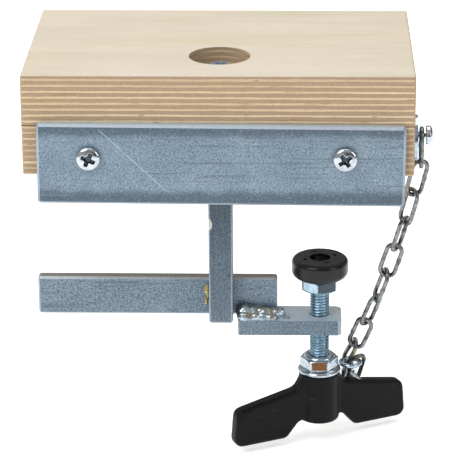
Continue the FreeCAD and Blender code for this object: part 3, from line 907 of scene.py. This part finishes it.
def build_welds():
    """The bead that joins the arm to the bar, and the spatter beside the post."""
    dice = random.Random(5)
    low, high = corners("arm_weld")
    parts = []
    # a tall row against the bar, and a low row towards the arm's front edge
    rows = [(13, 2.6 * MM, 2.6 * MM, 3.1 * MM), (11, 5.2 * MM, 0.9 * MM, 2.5 * MM)]
    for row, (count, setback, rise, size) in enumerate(rows):
        for i in range(count):
            x = low.x + 2.2 * MM + i * (high.x - low.x - 4.6 * MM - row * 3 * MM) / (count - 1)
            place = Vector((x, high.y - setback, low.z + rise))
            place += Vector([dice.uniform(-0.35, 0.35) * MM for _ in range(3)])
            taper = 1.25 - 0.35 * i / (count - 1)
            radii = [size * taper * dice.uniform(0.9, 1.05) for _ in range(3)]
            parts.append(blob(place, radii, i + 20 * row, 0.12))
    for i in range(7):
        x = high.x - dice.uniform(-6.0, 4.0) * MM
        place = Vector((x, high.y - dice.uniform(1.0, 5.0) * MM, low.z + 0.2 * MM))
        parts.append(blob(place, [dice.uniform(0.5, 1.0) * MM for _ in range(3)], i + 90, 0.3))
    mesh = mesh_from("arm_weld_bead", parts)
    bead = add_object("arm_weld_bead", mesh, None, "weld_steel", "weld_steel", "arm_weld")
    melt(bead, 0.28 * MM, 16)
    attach(bead, "root")

    bar_low, bar_high = corners("lower_bar")
    seam_x = corners("post")[0].x - 0.4 * MM
    seam = []
    for i in range(9):
        z = bar_high.z - 4 * MM - i * 1.1 * MM
        reach = Vector((seam_x + dice.uniform(-1.5, 0.2) * MM, bar_low.y - 0.1 * MM, z))
        seam.append(blob(reach, [dice.uniform(0.6, 1.5) * MM for _ in range(3)], i + 40, 0.9))
    back = corners("post_weld")
    for i in range(7):
        x = back[0].x + (i + 0.5) * (back[1].x - back[0].x) / 7
        spot = Vector((x, bar_low.y + 2 * MM, bar_high.z + 0.3 * MM))
        seam.append(blob(spot, (1.3 * MM, 2.2 * MM, 1.6 * MM), i + 70, 0.4))
    mesh = mesh_from("post_weld_spatter", seam)
    spatter = add_object("post_weld_spatter", mesh, None, "weld_steel", "spatter", "post_weld")
    melt(spatter, 0.25 * MM, 1)
    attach(spatter, "root")


# --- studio --------------------------------------------------------------------------------------------
def build_floor():
    """White paper with a painted pool of light where the object stands: paler and glowing a little there,
    greying further out.
    """
    half = 6.0
    z = cad_box[0][2] - 4 * MM
    sheet = [(-half, -half, z), (half, -half, z), (half, half, z), (-half, half, z)]
    mesh = bpy.data.meshes.new("floor")
    mesh.from_pydata(sheet, [], [(0, 1, 2, 3)])
    floor = bpy.data.objects.new("floor", mesh)
    bpy.context.collection.objects.link(floor)
    f = Finish("floor_paper", Roughness=0.9, Specular_IOR_Level=0.1)
    x = f.plus(f.axis(f.place, "X"), 0.12)
    y = f.axis(f.place, "Y")
    away = f.math("SQRT", f.plus(f.times(x, x), f.times(y, y)))
    near = f.span(away, 1.8, 0.8)
    f.color(f.blend(near, (0.62, 0.62, 0.63), (0.90, 0.90, 0.90)))
    f.feed(f.shader, "Emission Color", (1.0, 1.0, 1.0))
    f.feed(f.shader, "Emission Strength", f.span(near, 0.0, 1.0, 0.15, 0.5))
    mesh.materials.append(f.material)


def area_light(name, place, target, size, power, tint=(1, 1, 1)):
    light = bpy.data.lights.new(name, "AREA")
    light.shape = "RECTANGLE"
    light.size, light.size_y = size
    light.energy = power
    light.color = tint
    lamp = bpy.data.objects.new(name, light)
    lamp.location = place
    lamp.rotation_euler = (Vector(target) - Vector(place)).to_track_quat("-Z", "Y").to_euler()
    bpy.context.collection.objects.link(lamp)


def build_lights():
    middle = (-0.045, 0.0, -0.05)
    area_light("key_light", (-0.9, -1.0, 1.3), middle, (1.0, 1.0), 19)
    area_light("top_light", (0.0, 0.5, 1.6), middle, (1.5, 1.5), 15)
    area_light("right_fill", (1.4, -0.9, 0.6), middle, (0.7, 1.0), 4.5)
    world = bpy.data.worlds.new("studio")
    bpy.context.scene.world = world
    world.use_nodes = True
    tree = world.node_tree
    background = tree.nodes["Background"]
    background.inputs["Strength"].default_value = 0.5
    # a bright ceiling and left side, darker near the horizon and to the right
    sky = tree.nodes.new("ShaderNodeTexCoord")
    split = tree.nodes.new("ShaderNodeSeparateXYZ")
    tree.links.new(sky.outputs["Generated"], split.inputs[0])
    levels = []
    for letter, low, high in (("Z", -0.05, 0.75), ("X", 0.55, -0.75)):
        ramp = tree.nodes.new("ShaderNodeMapRange")
        ramp.interpolation_type = "SMOOTHSTEP"
        tree.links.new(split.outputs[letter], ramp.inputs["Value"])
        ramp.inputs["From Min"].default_value = low
        ramp.inputs["From Max"].default_value = high
        ramp.inputs["To Min"].default_value = 0.12
        levels.append(ramp.outputs[0])
    most = tree.nodes.new("ShaderNodeMath")
    most.operation = "MAXIMUM"
    tree.links.new(levels[0], most.inputs[0])
    tree.links.new(levels[1], most.inputs[1])
    tree.links.new(most.outputs[0], background.inputs["Color"])


def build_camera():
    """A long lens from the front, about twenty degrees above and a little to the right."""
    data = bpy.data.cameras.new("camera")
    data.sensor_width = 36
    data.lens = 199.3
    data.clip_end = 20
    camera = bpy.data.objects.new("camera", data)
    place = Vector((-0.0120, -1.1733, 0.3989))
    target = Vector((-0.0457, -0.0502, -0.0224))
    look = (target - place).to_track_quat("-Z", "Y").to_matrix().to_4x4()
    roll = Matrix.Rotation(math.radians(-0.334), 4, "Z")
    camera.matrix_world = Matrix.Translation(place) @ look @ roll
    bpy.context.collection.objects.link(camera)
    bpy.context.scene.camera = camera


finish_cad_nodes()
build_post()
build_clamp_bolt()
build_screws()
build_lock_nut()
softened("rubber_pad", "pad_moulding", 0.3 * MM, 3, "pad", "rubber", "rubber", rim=2.6 * MM)
softened("wing_handle", "wing_moulding", 0.5 * MM, 14, "screw", "black_plastic", "black_plastic")
build_chain()
build_welds()
build_floor()
build_lights()
build_camera()
bpy.context.scene.view_settings.view_transform = "Standard"
